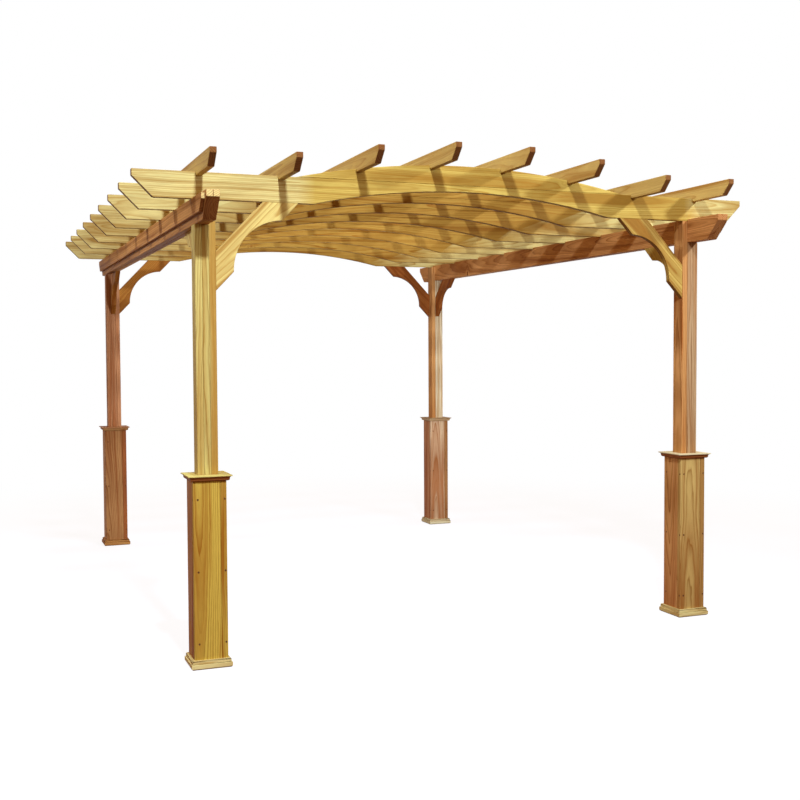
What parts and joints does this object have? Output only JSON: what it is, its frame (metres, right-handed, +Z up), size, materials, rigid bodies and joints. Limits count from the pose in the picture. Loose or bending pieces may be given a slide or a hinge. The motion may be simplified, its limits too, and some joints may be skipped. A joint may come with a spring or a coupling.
{
  "type": "arched wooden pergola",
  "caption": "Open pine pergola on posts with boxed bases, with double beams, arched rafters, notched-in purlins and curved knee braces.",
  "frame": {"origin": "on the ground, midway between the four posts", "axes": "+X along the rafters to the right, +Y along the beams and purlins to the back, +Z up"},
  "size_m": [3.73, 4.829, 2.7523],
  "materials": {
    "laminated_post": "clear-stained planed pine",
    "base_boards": "clear-stained planed pine",
    "base_trim": "clear-stained planed pine",
    "beam_boards": "clear-stained planed pine",
    "brace_boards": "clear-stained planed pine",
    "rafter_boards": "clear-stained planed pine",
    "purlin_boards": "clear-stained planed pine"
  },
  "bodies": {
    "root": {"front_left_post": "laminated_post", "front_right_post": "laminated_post", "back_left_post": "laminated_post", "back_right_post": "laminated_post", "front_left_sleeve": "base_boards", "front_right_sleeve": "base_boards", "back_left_sleeve": "base_boards", "back_right_sleeve": "base_boards", "front_left_base_cap": "base_trim", "front_right_base_cap": "base_trim", "back_left_base_cap": "base_trim", "back_right_base_cap": "base_trim", "front_left_base_moulding": "base_trim", "front_right_base_moulding": "base_trim", "back_left_base_moulding": "base_trim", "back_right_base_moulding": "base_trim", "left_beam": "beam_boards", "right_beam": "beam_boards", "left_ledger": "beam_boards", "right_ledger": "beam_boards", "front_left_rafter_brace": "brace_boards", "front_right_rafter_brace": "brace_boards", "back_left_rafter_brace": "brace_boards", "back_right_rafter_brace": "brace_boards", "front_left_beam_brace": "brace_boards", "front_right_beam_brace": "brace_boards", "back_left_beam_brace": "brace_boards", "back_right_beam_brace": "brace_boards", "rafter_1": "rafter_boards", "rafter_2": "rafter_boards", "rafter_3": "rafter_boards", "rafter_4": "rafter_boards", "rafter_5": "rafter_boards", "rafter_6": "rafter_boards", "rafter_7": "rafter_boards", "rafter_8": "rafter_boards", "rafter_9": "rafter_boards", "purlin_1": "purlin_boards", "purlin_2": "purlin_boards", "purlin_3": "purlin_boards", "purlin_4": "purlin_boards", "purlin_5": "purlin_boards", "purlin_6": "purlin_boards", "purlin_7": "purlin_boards", "purlin_8": "purlin_boards"}
  },
  "joints": []
}
